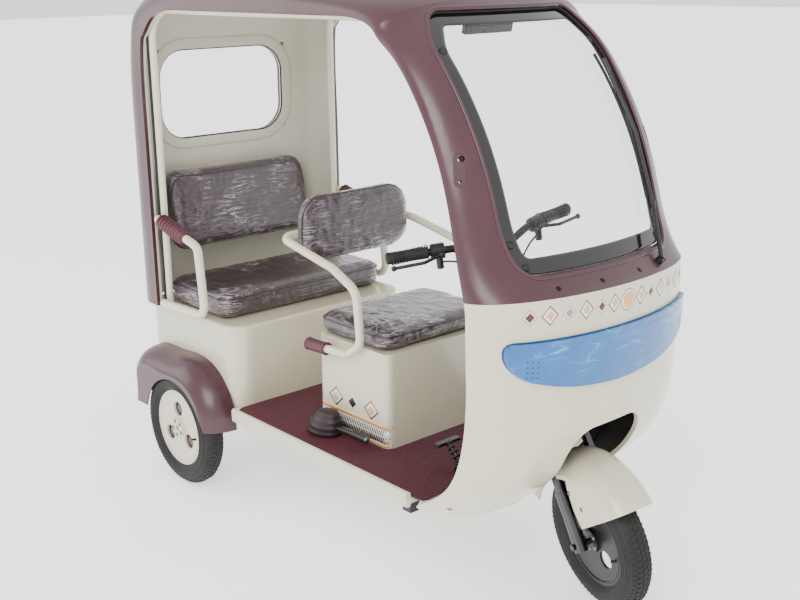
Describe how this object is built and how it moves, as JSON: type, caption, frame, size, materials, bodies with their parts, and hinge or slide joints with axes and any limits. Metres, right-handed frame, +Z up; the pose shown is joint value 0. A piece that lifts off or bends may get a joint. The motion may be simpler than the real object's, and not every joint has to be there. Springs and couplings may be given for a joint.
{
  "type": "electric tricycle",
  "caption": "Canopied passenger tricycle with a driver seat ahead of a rear bench, a curved windscreen cab, a steered front wheel and two free rear wheels.",
  "frame": {"origin": "on the ground, below the middle of the whole object", "axes": "+X forward, +Y to the vehicle's left, +Z up"},
  "size_m": [2.0294, 0.944, 1.7137],
  "materials": {
    "maroon_shell": "satin moulded maroon",
    "cream_shell": "glossy cream",
    "cream_liner": "satin pale liner",
    "cream_paint": "glossy cream paint",
    "black_paint": "semi-gloss black paint",
    "black_plastic": "black moulded plastic",
    "black_rubber": "black rubber",
    "maroon_rubber": "ribbed maroon rubber",
    "tyre": "black tread rubber",
    "cream_wheel": "cream painted wheel",
    "black_wheel": "black painted wheel",
    "leather": "plum leather under clear film",
    "glass": "clear windscreen glass",
    "lamp_film": "blue protective film over the lamp bar",
    "lamp_red": "red lamp lens",
    "spring_steel": "dark spring steel",
    "axle_paint": "black axle",
    "fork_chrome": "chromed fork tubes",
    "battery_case": "battery casing",
    "mirror_glass": "interior mirror",
    "dash_plastic": "dark dashboard"
  },
  "bodies": {
    "vehicle_body": {"front_fairing": "cream_shell", "windscreen_frame": "maroon_shell", "windscreen_glass": "glass", "roof_shell": "maroon_shell", "rear_shell": "maroon_shell", "roof_liner": "cream_liner", "rear_liner": "cream_liner", "floor_tub": "cream_shell", "floor_mat": "maroon_rubber", "chassis_frame": "black_paint", "rear_axle": "axle_paint", "leaf_springs": "spring_steel", "battery_pack": "battery_case", "leg_shield": "maroon_shell", "wheel_well": "black_plastic", "dashboard": "dash_plastic", "headlamp_bar": "lamp_film", "door_frame_tubes": "cream_paint", "rear_armrest_tubes": "cream_paint", "armrest_grips": "maroon_rubber", "rear_seat_box": "cream_shell", "rear_bench_cushion": "leather", "rear_backrest": "leather", "driver_seat_box": "cream_shell", "driver_cushion": "leather", "driver_backrest": "leather", "driver_seat_frame": "cream_paint", "rear_fender_left": "maroon_shell", "rear_fender_right": "maroon_shell", "rear_apron": "maroon_shell", "tail_lamps": "lamp_red", "brake_pedal": "black_paint", "parking_brake": "black_paint", "wiper": "black_plastic", "interior_mirror": "mirror_glass"},
    "steering": {"front_fork": "fork_chrome", "handlebar": "black_paint", "handlebar_grips": "black_rubber", "front_mudguard": "cream_shell"},
    "front_wheel_assembly": {"front_wheel": "black_wheel", "front_tyre": "tyre"},
    "left_rear_wheel_assembly": {"rear_wheel_left": "cream_wheel", "rear_tyre_left": "tyre"},
    "right_rear_wheel_assembly": {"rear_wheel_right": "cream_wheel", "rear_tyre_right": "tyre"}
  },
  "joints": [
    {"name": "steering_turn", "type": "hinge", "parent": "vehicle_body", "child": "steering", "pos_m": [0.78773, 0, 0.18216], "axis": [-0.4695, 0, 0.8829], "range_deg": [-21, 55]},
    {"name": "front_wheel_spin", "type": "hinge", "parent": "steering", "child": "front_wheel_assembly", "pos_m": [0.81981, -0.01111, 0.19922], "axis": [0.2581, 0.9563, 0.1373], "continuous": true},
    {"name": "left_rear_wheel_spin", "type": "hinge", "parent": "vehicle_body", "child": "left_rear_wheel_assembly", "pos_m": [-0.65872, 0.424, 0.2], "axis": [0, 1, 0], "continuous": true},
    {"name": "right_rear_wheel_spin", "type": "hinge", "parent": "vehicle_body", "child": "right_rear_wheel_assembly", "pos_m": [-0.65872, -0.424, 0.2], "axis": [0, 1, 0], "continuous": true}
  ]
}
